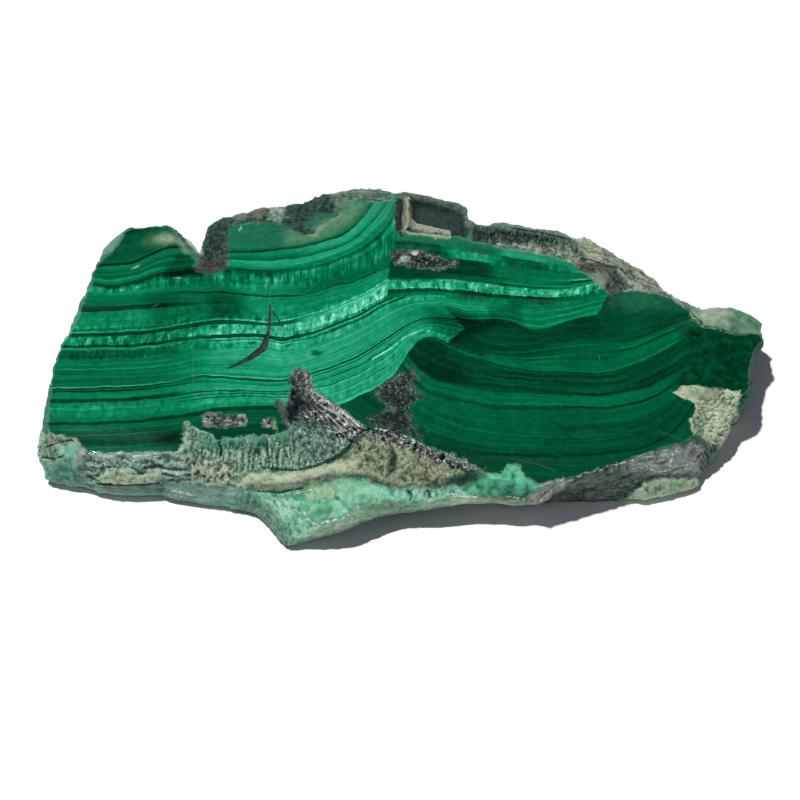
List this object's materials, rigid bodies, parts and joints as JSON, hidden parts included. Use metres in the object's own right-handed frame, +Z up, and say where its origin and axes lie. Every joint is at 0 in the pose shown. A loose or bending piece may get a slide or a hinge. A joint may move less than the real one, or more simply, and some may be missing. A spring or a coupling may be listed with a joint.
{
  "type": "polished stone slab",
  "caption": "Freeform slab of banded malachite with a flat polished top face, rough broken edges, dark crystal-lined hollows and a lighter green foot at the front.",
  "frame": {"origin": "centre of the bounding box in plan, at the height of the resting face", "axes": "+X along the length of the slab, +Y from the green foot at the front to the back rim, +Z up out of the polished face"},
  "size_m": [0.1218, 0.0734, 0.0081],
  "materials": {
    "banded_malachite": "polished top face, rough broken sides"
  },
  "bodies": {
    "root": {"malachite_stone": "banded_malachite"}
  },
  "joints": []
}
